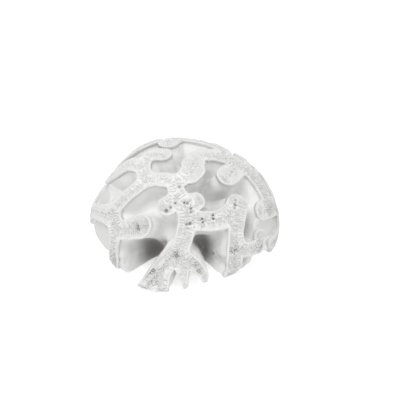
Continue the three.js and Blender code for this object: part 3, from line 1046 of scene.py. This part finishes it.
@dataclass(frozen=True)
class BoneFinish:
    """Dry, chalky, matt white skeleton with a fine grain."""

    name: str
    colour: Triple = (0.82, 0.819, 0.816)
    stain: Triple = (0.7, 0.697, 0.69)
    # The darkest colour, mixed in by the shade attribute: painted shade, grey stains and broken
    # patches.
    deep: Triple = (0.34, 0.336, 0.33)
    stain_share: float = 0.35
    roughness: float = 0.88
    specular: float = 0.25
    grain: float = 0.35
    grain_size: float = 0.0009
    grain_depth: float = 0.0004

    def material(self) -> bpy.types.Material:
        """The finish as a material on Object coordinates."""
        material = bpy.data.materials.new(self.name)
        material.use_nodes = True
        nodes, links = material.node_tree.nodes, material.node_tree.links
        shader = nodes["Principled BSDF"]
        tune(shader, {"Roughness": self.roughness, "Specular IOR Level": self.specular})
        place = nodes.new("ShaderNodeTexCoord").outputs["Object"]
        cloud = nodes.new("ShaderNodeTexNoise")
        tune(cloud, {"Scale": 60.0, "Detail": 6.0, "Roughness": 0.6})
        links.new(place, cloud.inputs["Vector"])
        spread = nodes.new("ShaderNodeMapRange")
        tune(spread, {"From Min": 0.45, "From Max": 0.75, "To Max": self.stain_share})
        links.new(cloud.outputs["Fac"], spread.inputs["Value"])
        mix = nodes.new("ShaderNodeMix")
        mix.data_type = "RGBA"
        tune(mix, {"A": (*self.colour, 1.0), "B": (*self.stain, 1.0)})
        links.new(spread.outputs["Result"], mix.inputs["Factor"])
        # The shade attribute mixes the colour towards deep: painted shade, grey stains and broken
        # patches.
        shade = nodes.new("ShaderNodeAttribute")
        shade.attribute_name = SHADE
        deepen = nodes.new("ShaderNodeMix")
        deepen.data_type = "RGBA"
        tune(deepen, {"B": (*self.deep, 1.0)})
        links.new(shade.outputs["Fac"], deepen.inputs["Factor"])
        links.new(mix.outputs["Result"], deepen.inputs["A"])
        links.new(deepen.outputs["Result"], shader.inputs["Base Color"])
        grain = nodes.new("ShaderNodeTexNoise")
        tune(grain, {"Scale": 1.0 / self.grain_size, "Detail": 4.0})
        links.new(place, grain.inputs["Vector"])
        bump = nodes.new("ShaderNodeBump")
        tune(bump, {"Strength": self.grain, "Distance": self.grain_depth})
        links.new(grain.outputs["Fac"], bump.inputs["Height"])
        links.new(bump.outputs["Normal"], shader.inputs["Normal"])
        return material


@dataclass(frozen=True)
class SoftBox:
    """A square area light that faces the coral: its place and side in metres, its power in watts."""

    name: str
    place: Triple
    side: float
    power: float


@dataclass
class Studio:
    """The camera of the photo, a pale floor and soft light, in metres."""

    elevation: float = 31.0
    distance: float = 1.2
    aim: Triple = (0.0115, 0.0, 0.038)
    lens: float = 125.6
    sensor: float = 36.0
    floor_size: float = 6.0
    floor_colour: Triple = (0.7, 0.7, 0.7)
    floor_glow: float = 0.55
    soft_boxes: tuple[SoftBox, ...] = (
        SoftBox("key_light", (-0.25, -0.5, 1.5), 1.0, 13.5),
        SoftBox("fill_light", (1.1, -0.6, 0.8), 1.0, 2.0),
    )
    surroundings: float = 0.72
    farthest: float = 20.0

    def camera(self) -> None:
        """Adds the camera and makes it the scene's."""
        tilt = math.radians(self.elevation)
        back = np.array([0.0, -math.cos(tilt), math.sin(tilt)]) * self.distance
        place = np.array(self.aim) + back
        bpy.ops.object.camera_add(location=tuple(place), rotation=(math.pi / 2 - tilt, 0.0, 0.0))
        camera = bpy.context.active_object
        camera.name = "camera"
        camera.data.lens = self.lens
        camera.data.sensor_width = self.sensor
        camera.data.clip_end = self.farthest
        bpy.context.scene.camera = camera

    def floor(self) -> None:
        """Adds the plain pale floor."""
        bpy.ops.mesh.primitive_plane_add(size=self.floor_size, location=(0.0, 0.0, 0.0))
        floor = bpy.context.active_object
        floor.name = "studio_floor"
        material = bpy.data.materials.new("pale_floor")
        material.use_nodes = True
        tune(material.node_tree.nodes["Principled BSDF"], {
            "Base Color": (*self.floor_colour, 1.0), "Roughness": 0.9, "Specular IOR Level": 0.0,
            "Emission Color": WHITE, "Emission Strength": self.floor_glow,
        })
        floor.data.materials.append(material)

    def lights(self) -> None:
        """Adds the soft studio lights and the pale surroundings."""
        for box in self.soft_boxes:
            away = np.array(box.place) - np.array(self.aim)
            yaw = math.atan2(away[0], -away[1])
            pitch = math.atan2(math.hypot(away[0], away[1]), away[2])
            bpy.ops.object.light_add(type="AREA", location=box.place, rotation=(pitch, 0.0, yaw))
            lamp = bpy.context.active_object
            lamp.name = box.name
            lamp.data.shape = "SQUARE"
            lamp.data.size = box.side
            lamp.data.energy = box.power
        world = bpy.data.worlds.new("pale_surroundings")
        world.use_nodes = True
        tune(world.node_tree.nodes["Background"], {"Color": WHITE, "Strength": self.surroundings})
        bpy.context.scene.world = world
        bpy.context.scene.view_settings.view_transform = "Standard"


def dress(piece: Piece, material: bpy.types.Material, dust_and_shade: DustAndShade) -> None:
    """Gives a piece its finish and joins it to the object's one body."""
    piece.data.materials.clear()
    piece.data.materials.append(material)
    dust_and_shade.settle_on(piece)
    select_only(piece)
    bpy.ops.object.shade_smooth()
    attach(piece, "root")
    log.info("%s: %d corners, %d faces", piece.name, len(piece.data.vertices), len(piece.data.polygons))


def main() -> None:
    """Builds the studio and the coral, in order."""
    logging.basicConfig(level=logging.INFO, format="%(name)s: %(message)s")
    studio = Studio()
    studio.camera()
    studio.floor()
    studio.lights()
    dome = Dome()
    walls = WallMap(dome, ((Side.FRONT, FRONT_WALLS), (Side.BACK, BACK_WALLS)))
    floors = WallMap(dome, ((Side.FRONT, FLOORS),), blend=3.0)
    body = SkeletonBody(dome, walls, floors, Core()).build()
    dust_and_shade = DustAndShade(dome, floors)
    dress(body, BoneFinish("coral_bone").material(), dust_and_shade)
    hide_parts("coral")
    rims = Rims(dome, walls).build()
    # The rims get a darker copy of the bone finish: painted shade that holds back the light their
    # raised crests catch.
    rim_finish = BoneFinish("coral_bone_rims", colour=(0.77, 0.769, 0.766), stain_share=0.2)
    dress(rims, rim_finish.material(), dust_and_shade)
    septa = Septa(dome, walls)
    lines, lengths = septa.paths()
    plate_finish = BoneFinish("coral_bone_plates", colour=(0.79, 0.789, 0.786), stain_share=0.25)
    plate_bone = plate_finish.material()
    dress(septa.build(lines, lengths), plate_bone, dust_and_shade)
    dress(Columella(dome, walls).build(lines), plate_bone, dust_and_shade)


if __name__ == "__main__":
    main()
